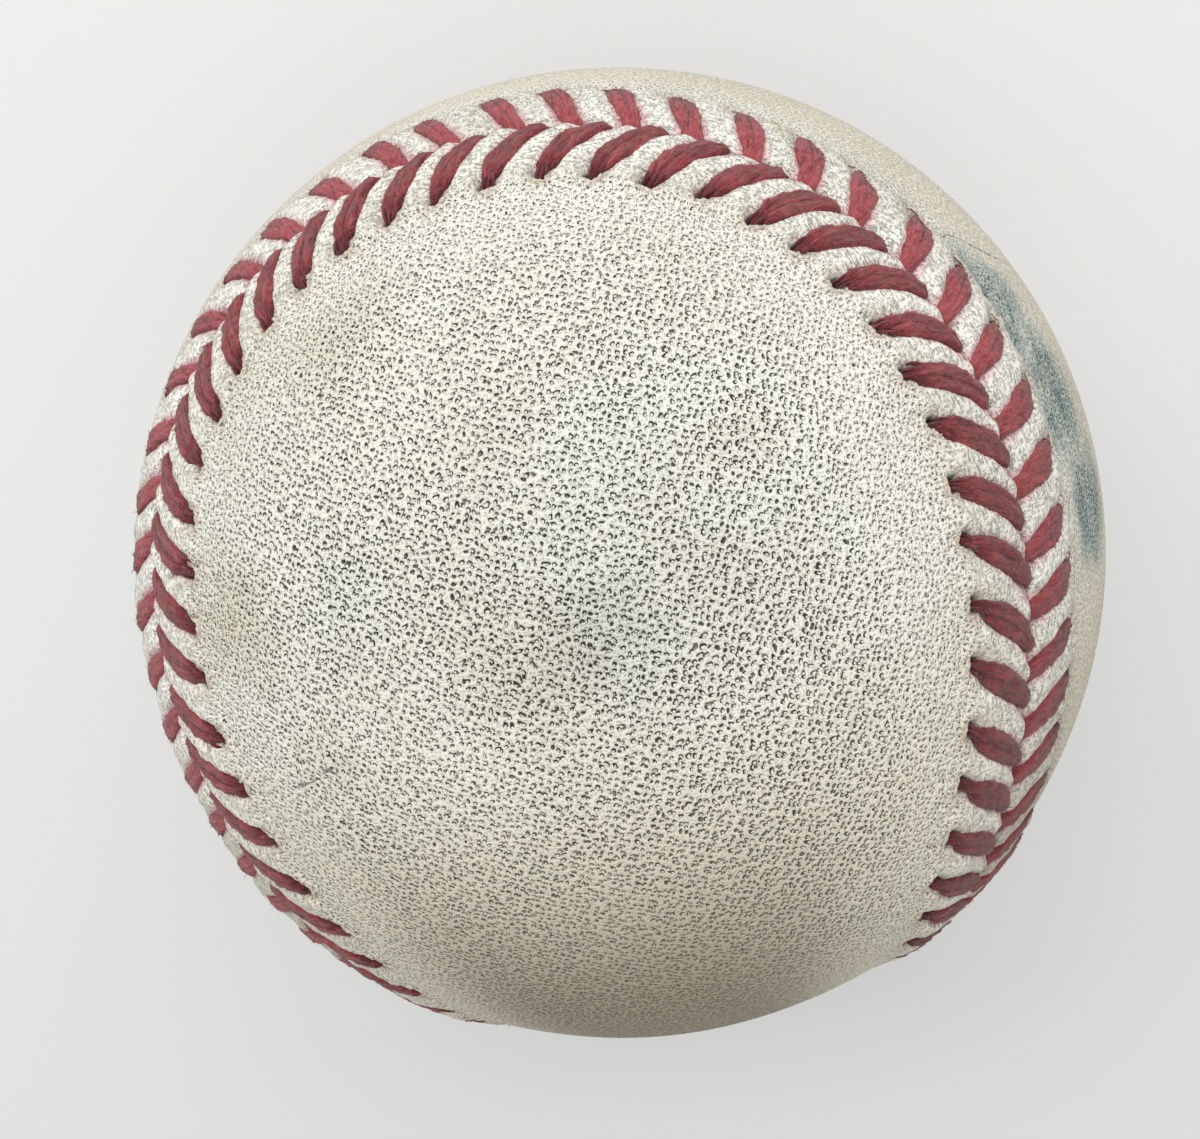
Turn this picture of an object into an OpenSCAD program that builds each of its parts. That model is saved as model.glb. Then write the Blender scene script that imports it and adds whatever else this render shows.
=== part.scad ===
// Baseball: a cork and rubber centre, four windings of yarn, and two
// leather panels joined by one seam of 108 double stitches.
//
// The origin is the ball's centre. One lobe of panel A faces up (+Z) and the
// other down, and its waist faces the front (-Y). The lobes of panel B face
// left and right (-X and +X), and its waist faces the back (+Y).

/* [Centre] */
// Diameter of the cork ball
cork_d = 20.6; // [16:0.1:26]
// Wall of the two black rubber half shells
inner_shell_t = 3.2; // [2:0.1:5]
// Height of the rubber gasket between the two black half shells
gasket_h = 1.6; // [1:0.1:3]
// Wall of the two red rubber half shells
outer_shell_t = 3.2; // [2:0.1:5]

/* [Windings] */
// Depth of the first winding, of four-ply grey wool
grey_wool_t = 14.6; // [10:0.1:18]
// Depth of the second winding, of three-ply white wool
white_wool_t = 1.8; // [1:0.1:3]
// Depth of the third winding, of three-ply grey wool
outer_wool_t = 2.1; // [1:0.1:3]
// Depth of the last winding, of fine cotton yarn
cotton_t = 0.5; // [0.3:0.1:1]

/* [Cover] */
// Thickness of the rubber cement on the cotton yarn
cement_t = 0.05; // [0.05:0.05:0.3]
// Thickness of the leather panels
leather_t = 1.2; // [0.9:0.1:1.6]
// Gap between the two panels along the seam
seam_gap = 0.4; // [0.3:0.05:0.7]
// Angle through which the seam swings each side of the ball's XZ plane
seam_swing = 65; // [60:0.5:68]
// Angle by which the seam weaves about an even turn round the Y axis
seam_weave = 20.4; // [18:0.1:24]

/* [Stitches] */
// Number of double stitches, each with one leg on panel A and one on panel B
stitch_count = 108; // [96:4:116]
// Distance from the seam to the rows of needle holes
hole_offset = 5; // [4.5:0.1:6]
// Diameter of a needle hole in the leather
hole_d = 1.3; // [1.1:0.1:1.6]
// Width of the flattened thread
thread_w = 1.7; // [1.3:0.1:2]
// Height of the flattened thread
thread_t = 0.9; // [0.6:0.05:1.2]

/* [Hidden] */

// Facets of the spheres in a preview
sphere_facets = 144;
// Facets of a needle hole in a preview
hole_facets = 16;
// How far a cutting shape runs past what it cuts
overrun = 1;

// The leather lies this far outside the cement, so that the two solids never overlap
leather_clear = 0.05;

// Radii of the layers, from the cork outwards
cork_r = cork_d / 2;
inner_shell_r = cork_r + inner_shell_t;
outer_shell_r = inner_shell_r + outer_shell_t;
grey_wool_r = outer_shell_r + grey_wool_t;
white_wool_r = grey_wool_r + white_wool_t;
outer_wool_r = white_wool_r + outer_wool_t;
cotton_r = outer_wool_r + cotton_t;
cement_r = cotton_r + cement_t;
leather_in_r = cement_r + leather_clear;
ball_r = leather_in_r + leather_t;

// The seam's next harmonics, as shares of its swing and weave
swing_third_share = -0.023;
weave_fourth_share = -0.015;

// Straight steps of a panel's edge for each stitch
edge_steps = 2;
edge_count = edge_steps * stitch_count;
// The parameter of the seam runs from 0 to seam_turn, twice round the ball
seam_turn = 720;
// Samples along the seam for the table of its length
table_count = 720;

// A leg of thread lies this far above the leather, and this far inside a hole or the gap
thread_clear = 0.05;
rest_h = thread_t / 2 + thread_clear;
pinch_w = hole_d - 6 * thread_clear;
// How deep the legs go into their hole and into the gap
hole_depth = 0.7 * leather_t;
gap_depth = 0.5 * leather_t;
// Where the first needle hole lies, and how far the legs reach forward along the seam, as
// shares of the distance between stitches
first_hole_share = 0.2;
leg_a_lead_share = 0.95;
leg_b_lead_share = 0.46;

// Direction from the centre to the seam at parameter a
function seam_dir(a) =
    let (
        tilt = 90 - seam_swing * (cos(a) + swing_third_share * cos(3 * a)),
        turn = a / 2 + seam_weave * (sin(2 * a) + weave_fourth_share * sin(4 * a))
    )
    [sin(tilt) * sin(turn), cos(tilt), sin(tilt) * cos(turn)];

function unit(v) = v / norm(v);

// Pairs of the length along the seam and the parameter reached there
seam_table = [
    for (
        i = 0, length = 0;
        i <= table_count;
        length = length + ball_r * norm(
            seam_dir((i + 1) * seam_turn / table_count) - seam_dir(i * seam_turn / table_count)),
        i = i + 1
    )
    [length, i * seam_turn / table_count]
];
seam_length = seam_table[table_count][0];
stitch_step = seam_length / stitch_count;

// A length along the closed seam, brought into the table's range
function on_seam(s) = s - seam_length * floor(s / seam_length);

// Unit vectors at the length s along the seam: outwards, along it, and across it to panel B
function seam_frame(s) =
    let (
        a = lookup(on_seam(s), seam_table),
        step = seam_turn / table_count,
        out = seam_dir(a),
        along = unit(seam_dir(a + step) - seam_dir(a - step))
    )
    [out, along, cross(out, along)];

// The point at the length s along the seam, w across it and h above the leather
function ball_point(s, w, h) =
    let (axes = seam_frame(s), turn = w / ball_r * 180 / PI)
    (ball_r + h) * (cos(turn) * axes[0] + sin(turn) * axes[2]);

// The place along the seam of one pair of needle holes
function hole_place(i) = (i + first_hole_share) * stitch_step;

// The wedge from the ball's centre out through one panel. Side is -1 for panel A and 1 for
// panel B. Its rim is the panel's edge, and ribs join the points that mirror each other.
module panel_wedge(side) {
    reach = 1.4 * ball_r;
    half = edge_count / 2;
    tip = side < 0 ? 0 : edge_count / 4;
    rim = [
        for (i = [0 : edge_count - 1])
        reach / ball_r * ball_point(i * seam_length / edge_count, side * seam_gap / 2, 0)
    ];
    function rim_at(i) = (i + 2 * edge_count) % edge_count;
    spine = [
        for (j = [1 : half - 1])
        reach * unit(rim[rim_at(tip + j)] + rim[rim_at(tip - j)])
    ];
    function spine_at(j) = 1 + edge_count + (j - 1);
    function right_at(j) = 1 + rim_at(tip + j);
    function left_at(j) = 1 + rim_at(tip - j);
    cap = concat(
        [
            [right_at(0), right_at(1), spine_at(1)],
            [right_at(0), spine_at(1), left_at(1)],
            [right_at(half), spine_at(half - 1), right_at(half - 1)],
            [right_at(half), left_at(half - 1), spine_at(half - 1)]
        ],
        [for (j = [1 : half - 2]) [right_at(j), right_at(j + 1), spine_at(j + 1)]],
        [for (j = [1 : half - 2]) [right_at(j), spine_at(j + 1), spine_at(j)]],
        [for (j = [1 : half - 2]) [spine_at(j), spine_at(j + 1), left_at(j + 1)]],
        [for (j = [1 : half - 2]) [spine_at(j), left_at(j + 1), left_at(j)]]
    );
    flank = [for (i = [0 : edge_count - 1]) [0, 1 + rim_at(i + 1), 1 + i]];
    polyhedron(
        points = concat([[0, 0, 0]], rim, spine),
        faces = [for (f = concat(cap, flank)) side < 0 ? f : [f[0], f[2], f[1]]],
        convexity = 6
    );
}

module ball(r) {
    sphere(r = r, $fn = sphere_facets);
}

module layer(r_in, r_out) {
    difference() {
        ball(r_out);
        ball(r_in);
    }
}

// One half of a layer, above or below the ball's equator, held back by the gap
module half_layer(r_in, r_out, side, gap) {
    size = r_out + overrun;
    intersection() {
        layer(r_in, r_out);
        translate([-size, -size, side > 0 ? gap / 2 : -size - gap / 2])
            cube([2 * size, 2 * size, size]);
    }
}

// Needle holes along one side of the seam, straight towards the ball's centre
module needle_holes(side) {
    for (i = [0 : stitch_count - 1]) {
        p = ball_point(hole_place(i), side * hole_offset, 0);
        rotate([0, acos(p[2] / norm(p)), atan2(p[1], p[0])])
            translate([0, 0, leather_in_r - overrun])
                cylinder(h = leather_t + 2 * overrun, d = hole_d, $fn = hole_facets);
    }
}

// The leather layer is turned so that its poles and its first meridian lie in the other panel
module cover_panel(side) {
    difference() {
        intersection() {
            if (side < 0)
                rotate(a = 120, v = [1, 1, 1]) layer(leather_in_r, ball_r);
            else
                rotate([0, 0, -90]) layer(leather_in_r, ball_r);
            panel_wedge(side);
        }
        needle_holes(side);
    }
}

// The stations of a leg run from its needle hole to the gap. Each has its place along the
// seam, its distance from the seam, its height, its width, its thickness and its pitch.
leg_a_lead = leg_a_lead_share * stitch_step;
leg_a_stations = [
    [0, hole_offset, -hole_depth, pinch_w, 0.8 * pinch_w, 90],
    [0.02 * leg_a_lead, 0.97 * hole_offset, 0.85 * rest_h, 0.8 * thread_w, 0.8 * thread_t, 40],
    [0.16 * leg_a_lead, 0.7 * hole_offset, rest_h, thread_w, thread_t, 0],
    [0.52 * leg_a_lead, 0.32 * hole_offset, rest_h, 0.95 * thread_w, thread_t, 0],
    [0.93 * leg_a_lead, 0.05 * hole_offset, 0.8 * rest_h, 0.3 * thread_w, 0.6 * thread_t, -20],
    [leg_a_lead, 0, -gap_depth, 0.15 * thread_w, thread_clear, -60]
];
leg_b_lead = leg_b_lead_share * stitch_step;
leg_b_stations = [
    [0, hole_offset, -hole_depth, pinch_w, 0.8 * pinch_w, 90],
    [0.02 * leg_b_lead, 0.97 * hole_offset, 0.85 * rest_h, 0.8 * thread_w, 0.8 * thread_t, 40],
    [0.25 * leg_b_lead, 0.65 * hole_offset, rest_h, 0.92 * thread_w, thread_t, 0],
    [0.85 * leg_b_lead, 0.1 * hole_offset, 0.9 * rest_h, 0.65 * thread_w, 0.8 * thread_t, -30],
    [leg_b_lead, 0, -gap_depth, 0.6 * thread_w, seam_gap / 2, -90]
];

// The six corners of a leg's flattened section, as shares of its half width and half thickness
corner_shares = [[-1, 0], [-0.55, 1], [0.55, 1], [1, 0], [0.55, -1], [-0.55, -1]];

// Direction of travel at a station, along the seam and across it
function travel(stations, j) =
    let (
        ahead = stations[min(j + 1, len(stations) - 1)],
        behind = stations[max(j - 1, 0)]
    )
    unit([ahead[0] - behind[0], ahead[1] - behind[1]]);

// The corners of one station's section, for the leg whose hole lies at the length s
function leg_section(stations, j, s, side) =
    let (
        here = stations[j],
        way = travel(stations, j),
        pitch = here[5]
    )
    [
        for (corner = corner_shares)
        let (
            sideways = corner[0] * here[3] / 2,
            upwards = corner[1] * here[4] / 2,
            along = here[0] - way[1] * sideways - way[0] * sin(pitch) * upwards,
            across = here[1] + way[0] * sideways - way[1] * sin(pitch) * upwards
        )
        ball_point(s + along, side * across, here[2] + cos(pitch) * upwards)
    ];

// All the legs on one side of the seam, each a closed solid of its own
module legs(stations, side) {
    corners = len(corner_shares);
    rings = len(stations);
    size = corners * rings;
    strip = [
        for (j = [0 : rings - 2])
        for (c = [0 : corners - 1])
        let (
            near = corners * j + c,
            next = corners * j + (c + 1) % corners
        )
        each [[near, next, next + corners], [near, next + corners, near + corners]]
    ];
    ends = [
        for (c = [1 : corners - 2])
        each [
            [0, c + 1, c],
            [size - corners, size - corners + c, size - corners + c + 1]
        ]
    ];
    leg_faces = concat(strip, ends);
    polyhedron(
        points = [
            for (i = [0 : stitch_count - 1])
            for (j = [0 : rings - 1])
            each leg_section(stations, j, hole_place(i), side)
        ],
        faces = [
            for (i = [0 : stitch_count - 1])
            for (f = leg_faces)
            let (face = [for (v = f) v + i * size])
            side < 0 ? [face[0], face[2], face[1]] : face
        ],
        convexity = 10
    );
}

module cork_core() {
    color("peru") ball(cork_r);
}

module inner_shell_lower() {
    color("dimgray") half_layer(cork_r, inner_shell_r, -1, gasket_h);
}

module inner_shell_upper() {
    color("dimgray") half_layer(cork_r, inner_shell_r, 1, gasket_h);
}

// The gasket fills the gap between the two black half shells
module shell_gasket() {
    color("firebrick")
    intersection() {
        layer(cork_r, inner_shell_r);
        translate([0, 0, -gasket_h / 2])
            cylinder(h = gasket_h, r = inner_shell_r + overrun, $fn = sphere_facets);
    }
}

module outer_shell_lower() {
    color("indianred") half_layer(inner_shell_r, outer_shell_r, -1, 0);
}

module outer_shell_upper() {
    color("indianred") half_layer(inner_shell_r, outer_shell_r, 1, 0);
}

module grey_wool_winding() {
    color("gray") layer(outer_shell_r, grey_wool_r);
}

module white_wool_winding() {
    color("whitesmoke") layer(grey_wool_r, white_wool_r);
}

module outer_wool_winding() {
    color("darkgray") layer(white_wool_r, outer_wool_r);
}

module cotton_winding() {
    color("linen") layer(outer_wool_r, cotton_r);
}

module cement_coat() {
    color("tan") layer(cotton_r, cement_r);
}

module cover_panel_a() {
    color("ivory") cover_panel(-1);
}

module cover_panel_b() {
    color("antiquewhite") cover_panel(1);
}

module stitches_a() {
    color("brown") legs(leg_a_stations, -1);
}

module stitches_b() {
    color("crimson") legs(leg_b_stations, 1);
}

cork_core();
inner_shell_lower();
inner_shell_upper();
shell_gasket();
outer_shell_lower();
outer_shell_upper();
grey_wool_winding();
white_wool_winding();
outer_wool_winding();
cotton_winding();
cement_coat();
cover_panel_a();
cover_panel_b();
stitches_a();
stitches_b();
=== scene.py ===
import math

import bmesh
import bpy
import numpy as np
from mathutils import Matrix, Vector
from mathutils.geometry import delaunay_2d_cdt


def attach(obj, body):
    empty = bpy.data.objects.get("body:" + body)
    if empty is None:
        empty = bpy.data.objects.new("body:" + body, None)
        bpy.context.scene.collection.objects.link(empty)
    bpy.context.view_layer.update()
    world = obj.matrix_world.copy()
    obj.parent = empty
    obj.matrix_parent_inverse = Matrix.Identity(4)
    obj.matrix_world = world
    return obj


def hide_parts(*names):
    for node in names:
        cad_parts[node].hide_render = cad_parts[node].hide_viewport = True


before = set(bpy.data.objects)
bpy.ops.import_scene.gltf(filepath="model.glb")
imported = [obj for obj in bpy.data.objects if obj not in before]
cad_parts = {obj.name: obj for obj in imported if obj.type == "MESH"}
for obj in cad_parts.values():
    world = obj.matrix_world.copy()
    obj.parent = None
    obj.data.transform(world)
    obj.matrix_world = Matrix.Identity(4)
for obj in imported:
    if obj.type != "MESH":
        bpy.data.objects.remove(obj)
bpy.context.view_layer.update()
mm = 0.001

# Cork core
# A ball of ground cork and rubber, pressed and cured in a mould. It is the
# first thing the rubber shells close round, and nothing fixes it but them.


def new_finish(name, pieces, **sockets):
    """A material with one Principled shader, whose even values are set here."""
    finish = bpy.data.materials.new(name)
    finish.use_nodes = True
    shader = finish.node_tree.nodes["Principled BSDF"]
    for socket, value in sockets.items():
        shader.inputs[socket.replace("_", " ")].default_value = value
    for piece in pieces:
        piece.data.materials.clear()
        piece.data.materials.append(finish)
    return finish.node_tree, shader


def wire(value, socket):
    """Feeds a socket from another node's output, or sets it to a number or a tuple."""
    if isinstance(value, bpy.types.NodeSocket):
        socket.id_data.links.new(value, socket)
    else:
        socket.default_value = value


def tree_of(values):
    """The node tree of the first socket among some values."""
    return next(value.id_data for value in values if isinstance(value, bpy.types.NodeSocket))


def put(kind, *wired, tree=None, **settings):
    """Adds a node to a tree, which needs no naming where wired has a socket of it. wired
    feeds the node's inputs in turn, and None leaves one as it is."""
    node = (tree or tree_of(wired)).nodes.new("ShaderNode" + kind)
    for name, value in settings.items():
        setattr(node, name, value)
    for socket, value in zip(node.inputs, wired):
        if value is not None:
            wire(value, socket)
    return node


def sums(operation, *wired, clamp=False):
    return put("Math", *wired, operation=operation, use_clamp=clamp).outputs[0]


def ramp(value, low, high, out_low=0.0, out_high=1.0):
    """value brought from low..high to out_low..out_high, eased at both ends."""
    node = put("MapRange", value, low, high, out_low, out_high, interpolation_type="SMOOTHSTEP")
    return node.outputs["Result"]


def blend(share, under, over):
    """under covered by over, both colours, by share."""
    unused = [None] * 5
    return put("Mix", share, *unused, under, over, data_type="RGBA", clamp_factor=True).outputs[2]


def paint(shader, colour):
    wire(colour, shader.inputs["Base Color"])


def open_group(name, vector_inputs, number_inputs, number_outputs):
    """A shader node group with named sockets, and the sockets of its two end nodes."""
    group = bpy.data.node_groups.new(name, "ShaderNodeTree")
    for labels, way, kind in ((vector_inputs, "INPUT", "Vector"), (number_inputs, "INPUT", "Float"),
                              (number_outputs, "OUTPUT", "Float")):
        for label in labels:
            group.interface.new_socket(label, in_out=way, socket_type="NodeSocket" + kind)
    return group, group.nodes.new("NodeGroupInput").outputs, group.nodes.new("NodeGroupOutput").inputs


def place(group, **wired):
    """Places a group in a material. wired names its inputs, with _ for a space."""
    node = put("Group", tree=tree_of(wired.values()), node_tree=group)
    for name, value in wired.items():
        wire(value, node.inputs[name.replace("_", " ")])
    return node.outputs


def raise_surface(shader, height, depth):
    """Feeds height, from 0 to 1, through a Bump node of that depth in metres."""
    bump = put("Bump", 1.0, depth, tree=height.id_data)
    wire(height, bump.inputs["Height"])
    wire(bump.outputs[0], shader.inputs["Normal"])


def scaled(vector, factor):
    return put("VectorMath", vector, None, None, factor, operation="SCALE").outputs[0]


def in_mm(tree):
    """Object coordinates, counted in millimetres."""
    return scaled(put("TexCoord", tree=tree).outputs["Object"], 1 / mm)


def unit(v):
    return v / np.linalg.norm(v, axis=-1, keepdims=True)


def swell(points, size, seed, waves=24):
    """Smooth noise of about -1 to 1, with hills about size millimetres across."""
    draw = np.random.default_rng(seed)
    ways = unit(draw.normal(size=(waves, 3))) * (np.pi / size) * draw.uniform(0.6, 1.6, (waves, 1))
    phases = draw.uniform(0, 2 * np.pi, waves)
    return np.sin(points @ ways.T + phases).sum(-1) / math.sqrt(waves / 2)


def mesh_piece(name, points, faces, **per_point):
    """A smooth-shaded mesh from points in millimetres, with vector attributes on its points."""
    mesh = bpy.data.meshes.new(name)
    mesh.from_pydata((points * mm).tolist(), [], faces)
    for label, values in per_point.items():
        attribute = mesh.attributes.new(label, "FLOAT_VECTOR", "POINT")
        attribute.data.foreach_set("vector", np.ascontiguousarray(values, np.float32).ravel())
    shell = bmesh.new()
    shell.from_mesh(mesh)
    bmesh.ops.recalc_face_normals(shell, faces=shell.faces)
    shell.to_mesh(mesh)
    shell.free()
    mesh.polygons.foreach_set("use_smooth", np.ones(len(mesh.polygons), bool))
    mesh.update()
    piece = bpy.data.objects.new(name, mesh)
    bpy.context.scene.collection.objects.link(piece)
    return piece


def noise(where, scale, detail=1.0, roughness=0.5, output="Fac"):
    return put("TexNoise", where, None, scale, detail, roughness).outputs[output]


def ride_as(piece, node):
    """Puts a piece in the place of a CAD node, which it hides, and hangs the piece on the root body."""
    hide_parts(node)
    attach(piece, "root")


def round_ball(radius, steps):
    """Points and faces of a ball of even triangles."""
    ball = bmesh.new()
    bmesh.ops.create_icosphere(ball, subdivisions=steps, radius=radius)
    points = np.array([v.co[:] for v in ball.verts])
    faces = [[v.index for v in f.verts] for f in ball.faces]
    ball.free()
    return points, faces


# Speckled surface of crumbs pressed together, for cork and for ground rubber
crumb, crumb_in, crumb_out = open_group("pressed_crumb", ["Where"], ["Crumb size"], ["Tone", "Height"])
cells = put("TexVoronoi", crumb_in["Where"])
wire(sums("DIVIDE", 1.0, crumb_in["Crumb size"]), cells.inputs["Scale"])
wire(put("SeparateColor", cells.outputs["Color"]).outputs[0], crumb_out["Tone"])
wire(sums("SUBTRACT", 1.0, cells.outputs["Distance"]), crumb_out["Height"])

cork_r = 10.3
points, faces = round_ball(cork_r, 6)
crumbs = 1 - 0.006 * np.maximum(0, 0.7 + swell(points, 1.1, 3))
crumbs -= 0.004 * np.maximum(0, swell(points, 0.5, 5))
points *= crumbs[:, None]
cork = mesh_piece("cork_ball", points, faces)
ride_as(cork, "cork_core")
tree, shader = new_finish("cork_finish", [cork], Roughness=0.9)
where = in_mm(tree)
speck = place(crumb, Where=where, Crumb_size=1.1)
tone = blend(speck["Tone"], (0.30, 0.16, 0.08, 1), (0.55, 0.35, 0.19, 1))
tone = blend(ramp(noise(where, 1.5, 3.0), 0.62, 0.72), tone, (0.06, 0.04, 0.03, 1))
paint(shader, tone)
raise_surface(shader, speck["Height"], 0.15 * mm)

# Rubber shells
# Two half shells of black rubber, moulded hot over the cork with a thin ring of red
# rubber between their rims, and two half shells of red rubber moulded over those.

for names, slot, dark, light, gloss in (
        (("inner_shell_lower", "inner_shell_upper"), "black_rubber",
         (0.012, 0.012, 0.012, 1), (0.035, 0.034, 0.033, 1), 0.55),
        (("shell_gasket",), "red_rubber", (0.26, 0.03, 0.02, 1), (0.36, 0.05, 0.035, 1), 0.6),
        (("outer_shell_lower", "outer_shell_upper"), "red_rubber",
         (0.19, 0.022, 0.016, 1), (0.30, 0.045, 0.03, 1), 0.65)):
    shells = [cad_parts[name] for name in names]
    tree, shader = new_finish(names[0] + "_finish", shells, Roughness=gloss, Specular_IOR_Level=0.4)
    where = in_mm(tree)
    grit = place(crumb, Where=where, Crumb_size=0.5)
    bloom = noise(where, 0.25, 4.0, 0.6)
    paint(shader, blend(ramp(bloom, 0.35, 0.65), dark, light))
    wire(ramp(bloom, 0.3, 0.7, gloss - 0.12, gloss + 0.12), shader.inputs["Roughness"])
    raise_surface(shader, grit["Height"], 0.03 * mm)

# Windings
# Wool yarn wound tight on the rubber pill in three layers, four-ply grey, three-ply
# white and three-ply grey, and fine cotton yarn over them, each held by its own tension.


def chain(operation, *parts):
    """Several values joined one after the other by the same operation."""
    whole = parts[0]
    for part in parts[1:]:
        whole = sums(operation, whole, part)
    return whole


def times(*parts):
    return chain("MULTIPLY", *parts)


def added(*parts):
    return chain("ADD", *parts)


def apart(vector):
    """The x, y and z of a vector."""
    return put("SeparateXYZ", vector).outputs


def from_points(tree, name):
    return put("Attribute", tree=tree, attribute_name=name).outputs["Vector"]


# Yarn: plies twisted together, with a felted nap. Its tone is painted shade in the hollows between the plies,
# with the felt's own tone on top
yarn, yarn_in, yarn_out = open_group("twisted_yarn", ["Along"], ["Plies"], ["Tone", "Height"])
length, turn, _ = apart(yarn_in["Along"])
lay = added(times(turn, yarn_in["Plies"]), times(length, 2.6))
ply = sums("ABSOLUTE", sums("SINE", times(lay, 0.5)))
felt = noise(yarn_in["Along"], 6.0, 3.0, 0.7)
# painted shade: the tone is darker in the hollows between the plies, where the ply wave is low; the felt adds
# tone of its own
wire(added(times(ply, 0.6), times(felt, 0.5)), yarn_out["Tone"])
wire(added(times(ply, 0.8), times(felt, 0.25)), yarn_out["Height"])


def run_length(path):
    """How far along a line of points each of them lies."""
    return np.concatenate([[0], np.cumsum(np.linalg.norm(np.diff(path, axis=0), axis=1))])


def tube_faces(base, rings, corners, capped=True):
    """Faces of a tube whose points run ring by ring from the number base, with flat ends."""
    a = base + np.arange(rings - 1)[:, None] * corners
    c = np.arange(corners)[None, :]
    n = (c + 1) % corners
    sides = np.stack([a + c, a + n, a + corners + n, a + corners + c], -1).reshape(-1, 4).tolist()
    ends = [[start + k for k in range(corners)] for start in (base, base + (rings - 1) * corners)]
    return sides + ends if capped else sides


def winding(name, outer_r, yarn_d, turns):
    """A layer of yarn: a closed ball just under it, and one unbroken yarn wound round that."""
    points, faces = round_ball(outer_r - 0.6 * yarn_d, 4)
    round_turn, corners = 54, 6
    t = np.arange(turns * round_turn + 1) / round_turn
    draw = np.random.default_rng(turns)
    # the ball is turned a little at every wrap, and tilted anew after some ten of them
    tilts = draw.uniform(0.15, 1.45, turns // 10 + 3)
    changes = 10 * np.arange(len(tilts))
    tilt = np.interp(t, changes, tilts)
    swing = t * 0.37 + np.interp(t, changes, np.cumsum(draw.uniform(0.5, 2.0, len(tilts))))
    a = 2 * np.pi * t
    x, y, z = np.cos(a), np.sin(a) * np.cos(tilt), np.sin(a) * np.sin(tilt)
    path = np.stack([x * np.cos(swing) - y * np.sin(swing), x * np.sin(swing) + y * np.cos(swing), z], -1)
    path = path * (outer_r - 0.5 * yarn_d - 0.05 * yarn_d * (1 + np.sin(7.3 * a)))[:, None]
    out, way = unit(path), unit(np.gradient(path, axis=0))
    beside = np.cross(out, way)
    phi = np.arange(corners) * 2 * np.pi / corners
    rim = np.cos(phi)[:, None] * beside[:, None] * 1.15 + np.sin(phi)[:, None] * out[:, None]
    ring = path[:, None] + 0.5 * yarn_d * rim
    along = np.zeros(ring.shape)
    along[..., 0], along[..., 1] = run_length(path)[:, None], phi
    faces += tube_faces(len(points), len(t), corners)
    return mesh_piece(name, np.concatenate([points, ring.reshape(-1, 3)]), faces,
                      along=np.concatenate([points * 2, along.reshape(-1, 3)]))


# Each winding: piece, node and slot, outer radius, yarn thickness, turns, plies, and the
# colour of the painted shade in the yarn's hollows and the colour of its nap
for name, node, slot, outer_r, yarn_d, turns, plies, dark, light in (
        ("grey_wool_yarn", "grey_wool_winding", "grey_wool", 31.3, 1.7, 110, 4.0,
         (0.10, 0.10, 0.105, 1), (0.30, 0.30, 0.31, 1)),
        ("white_wool_yarn", "white_wool_winding", "white_wool", 33.1, 1.4, 130, 3.0,
         (0.45, 0.43, 0.39, 1), (0.80, 0.78, 0.73, 1)),
        ("outer_wool_yarn", "outer_wool_winding", "grey_wool", 35.2, 1.4, 150, 3.0,
         (0.11, 0.11, 0.115, 1), (0.33, 0.33, 0.34, 1)),
        ("cotton_yarn", "cotton_winding", "cotton", 35.7, 0.45, 260, 2.0,
         (0.55, 0.52, 0.44, 1), (0.85, 0.82, 0.74, 1))):
    piece = winding(name, outer_r, yarn_d, turns)
    ride_as(piece, node)
    tree, shader = new_finish(name + "_finish", [piece], Roughness=0.95, Specular_IOR_Level=0.15,
                              Sheen_Weight=0.3)
    lie = place(yarn, Along=from_points(tree, "along"), Plies=plies)
    paint(shader, blend(ramp(lie["Tone"], 0.2, 0.9), dark, light))
    raise_surface(shader, lie["Height"], 0.12 * yarn_d * mm)

# Rubber cement
# A thin coat of rubber cement, brushed on the cotton, that the hide is stuck down with.


def stretched(vector, scale, turn=(0, 0, 0)):
    return put("Mapping", vector, None, turn, scale).outputs[0]


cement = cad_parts["cement_coat"]
tree, shader = new_finish("cement_finish", [cement], Roughness=0.4, Specular_IOR_Level=0.5)
strokes = noise(stretched(in_mm(tree), (1.0, 0.15, 1.0)), 1.2, 4.0, 0.6)
brushed = blend(ramp(strokes, 0.35, 0.65), (0.50, 0.36, 0.18, 1), (0.72, 0.60, 0.40, 1))
paint(shader, brushed)
wire(ramp(strokes, 0.3, 0.7, 0.3, 0.55), shader.inputs["Roughness"])
raise_surface(shader, strokes, 0.04 * mm)

# Leather cover
# Two figure-8 panels of alum-tanned cowhide, 1.2 mm thick, glued over the last
# winding and drawn edge to edge by the thread. The ball lies at its own centre,
# panel A's lobes face up and down, and panel B's face left and right.

leather_in_r = 35.8
leather_t = 1.2
ball_r = leather_in_r + leather_t
# The seam swings to both sides of the middle plane and weaves along it. Both are in degrees.
seam_swing, swing_third_share = 65, -0.023
seam_weave, weave_fourth_share = 20.4, -0.015
stitch_count = 108
first_hole_share = 0.2
# Steps in which the seam's length is measured
measured_places = 5760


def seam_direction(turn):
    """Unit vectors from the ball's centre to the seam. turn runs from 0 to 720 degrees."""
    a = np.radians(turn)
    tilt = np.pi / 2 - np.radians(seam_swing) * (np.cos(a) + swing_third_share * np.cos(3 * a))
    swept = a / 2 + np.radians(seam_weave) * (np.sin(2 * a) + weave_fourth_share * np.sin(4 * a))
    return np.stack([np.sin(tilt) * np.sin(swept), np.cos(tilt), np.sin(tilt) * np.cos(swept)], -1)


seam_turns = np.linspace(0, 720, measured_places + 1)
seam_lengths = ball_r * run_length(seam_direction(seam_turns))
seam_length = seam_lengths[-1]
stitch_step = seam_length / stitch_count


def seam_axes(s):
    """Unit vectors outwards, along and across the seam at the lengths s."""
    turn = np.interp(np.mod(s, seam_length), seam_lengths, seam_turns)
    out = seam_direction(turn)
    along = unit(seam_direction(turn + 0.5) - seam_direction(turn - 0.5))
    return out, along, np.cross(out, along)


def on_ball(s, w, h):
    """Points in millimetres at the lengths s, w across the seam and h above the leather."""
    out, _, across = seam_axes(s)
    angle = (w / ball_r)[..., None]
    return (ball_r + h)[..., None] * (np.cos(angle) * out + np.sin(angle) * across)


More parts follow.
